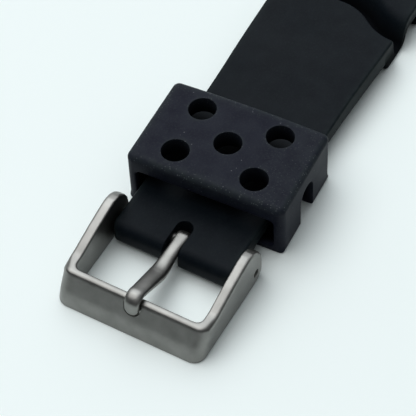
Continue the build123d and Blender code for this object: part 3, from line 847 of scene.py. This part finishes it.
# Half a coil: a circle carried along a helix, whose angle grows evenly with the place along Y
def buildSpring(bar, end, side, s):
    reach = np.linspace(0, s["half"] - s["wire"], s["turns"] * wireSteps)
    angle = 2 * math.pi * s["turns"] * side * reach / s["half"]
    turnRadius = s["radius"] - s["wire"]
    climb = s["half"] / (2 * math.pi * s["turns"] * turnRadius)
    out = np.stack([np.cos(angle), 0 * angle, np.sin(angle)], 1)
    ahead = np.stack([-np.sin(angle), 0 * angle + climb, np.cos(angle)], 1)
    over = np.cross(ahead / np.linalg.norm(ahead, axis=1)[:, None], out)
    middle = out * turnRadius + np.stack([0 * reach, side * reach, 0 * reach], 1)
    turn = np.radians(np.arange(0, 360, 360 / wireSides))[None, :, None]
    points = middle[:, None] + s["wire"] * (np.cos(turn) * out[:, None] + np.sin(turn) * over[:, None])
    points = points + (s["x"], s["middle"], s["z"])
    grid = len(reach), wireSides
    name = bar + "Spring" + end.capitalize()
    obj = addMesh(name, points.reshape(-1, 3), gridFaces(*grid) + endCaps(*grid))
    mend(obj)
    obj.data.materials.append(springWire)
    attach(obj, "strap")
    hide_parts(bar + "_bar_spring")
    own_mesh(obj)


for bar in springs:
    for end, side in (("left", 1), ("right", -1)):
        buildSpring(bar, end, side, springs[bar])
print("springs ready")


# Tubes and pins of the bars keep their own shape

for name in nodes:
    if name.startswith(("buckle_bar", "lug_bar")):
        # the pins get near-black steel, a painted shade in the pin holes
        shadedPin = name.startswith("buckle_bar_pin")
        nodes[name].data.materials.clear()
        nodes[name].data.materials.append(shadedPinSteel if shadedPin else turnedSteel)
print("steel ready")


# Floor, light and camera. The lamp's places are in metres and the floor's half side in millimetres; each
# part of the sky grows towards one direction, between two cosines to it, from low to high strength.

studio = dict(
    floorHalf=3000, floorColour=(0.89, 0.955, 0.94, 1), floorRough=0.9, floorGloss=0.1,
    skyColour=(0.93, 0.97, 1.0, 1),
    skyParts=dict(ceiling=dict(towards=(0, 0, 1), between=(0, 1), low=0.06, high=0.52, power=2),
                  backWall=dict(towards=(0.85, 0.50, 0.15), between=(0.3, 0.95), low=0, high=0.75),
                  backPanel=dict(towards=(0.52, 0.324, 0.79), between=(0.85, 0.97), low=0, high=1.9)),
    lampPlace=(-0.10, 0.46, 1.05), lampTarget=(0, 0, 0), lampSize=1.15, lampPower=5.7)


def layFloor():
    half = studio["floorHalf"]
    corners = (-half, -half, 0), (half, -half, 0), (half, half, 0), (-half, half, 0)
    floor = addMesh("floor", corners, [(0, 1, 2, 3)])
    material, _, shader, _ = newMaterial("paleFloor")
    shader.inputs["Roughness"].default_value = studio["floorRough"]
    shader.inputs["Specular IOR Level"].default_value = studio["floorGloss"]
    shader.inputs["Base Color"].default_value = studio["floorColour"]
    floor.data.materials.append(material)


# Light that grows towards one direction: the cosine to it, spread over two limits, to a power
def skyPart(sky, direction, towards, between, low, high, power=1):
    cosine = sky.nodes.new("ShaderNodeVectorMath")
    cosine.operation = "DOT_PRODUCT"
    cosine.inputs[1].default_value = Vector(towards).normalized()
    sky.links.new(direction, cosine.inputs[0])
    raised = reckon(sky, "POWER", spread(sky, cosine.outputs["Value"], 0, 1, *between), power)
    return spread(sky, raised, low, high, 0, 1)


# The sky's strength is the sum of its parts
def lightSky():
    world = bpy.data.worlds.new("studio")
    world.use_nodes = True
    sky = world.node_tree
    background = sky.nodes["Background"]
    background.inputs["Color"].default_value = studio["skyColour"]
    direction = sky.nodes.new("ShaderNodeTexCoord").outputs["Generated"]
    total = None
    for part in studio["skyParts"].values():
        strength = skyPart(sky, direction, **part)
        total = reckon(sky, "ADD", total, strength) if total else strength
    sky.links.new(total, background.inputs["Strength"])
    bpy.context.scene.world = world


def hangLamp():
    data = bpy.data.lights.new("mainLight", "AREA")
    data.shape, data.size, data.energy = "DISK", studio["lampSize"], studio["lampPower"]
    lamp = bpy.data.objects.new("mainLight", data)
    lamp.location = studio["lampPlace"]
    towards = Vector(studio["lampTarget"]) - Vector(studio["lampPlace"])
    lamp.rotation_euler = towards.to_track_quat("-Z", "Y").to_euler()
    bpy.context.scene.collection.objects.link(lamp)


view = dict(azimuth=31.87, elevation=52.22, roll=-3.1, focalPixels=1826.93, side=416,
            aimed=(-17.65, 0, 0), aimedPixel=(229.52, 186.04), distance=306.52, nearest=0.01)


# Camera that looks along an azimuth from +X towards +Y, down by the elevation, turned by the roll, with
# one place of the object at a given depth behind a given pixel
def placeCamera():
    azimuth, elevation, roll = (math.radians(view[name]) for name in ("azimuth", "elevation", "roll"))
    level = Vector((math.cos(azimuth), math.sin(azimuth), 0))
    right = Vector((math.sin(azimuth), -math.cos(azimuth), 0))
    ahead = level * math.cos(elevation) - Vector((0, 0, math.sin(elevation)))
    up = level * math.sin(elevation) + Vector((0, 0, math.cos(elevation)))
    right, up = right * math.cos(roll) + up * math.sin(roll), up * math.cos(roll) - right * math.sin(roll)
    centre = view["side"] / 2
    perPixel = view["distance"] / view["focalPixels"]
    sideways = (view["aimedPixel"][0] - centre) * perPixel
    downwards = (view["aimedPixel"][1] - centre) * perPixel
    spot = Vector(view["aimed"]) - right * sideways + up * downwards - ahead * view["distance"]
    data = bpy.data.cameras.new("camera")
    data.lens = view["focalPixels"] / view["side"] * data.sensor_width
    data.clip_start = view["nearest"]
    camera = bpy.data.objects.new("camera", data)
    turned = Matrix((right, up, -ahead)).transposed().to_4x4()
    camera.matrix_world = Matrix.Translation(spot * mm) @ turned
    bpy.context.scene.collection.objects.link(camera)
    bpy.context.scene.camera = camera


layFloor()
lightSky()
hangLamp()
placeCamera()
bpy.context.scene.view_settings.view_transform = "Standard"
print("stage ready")
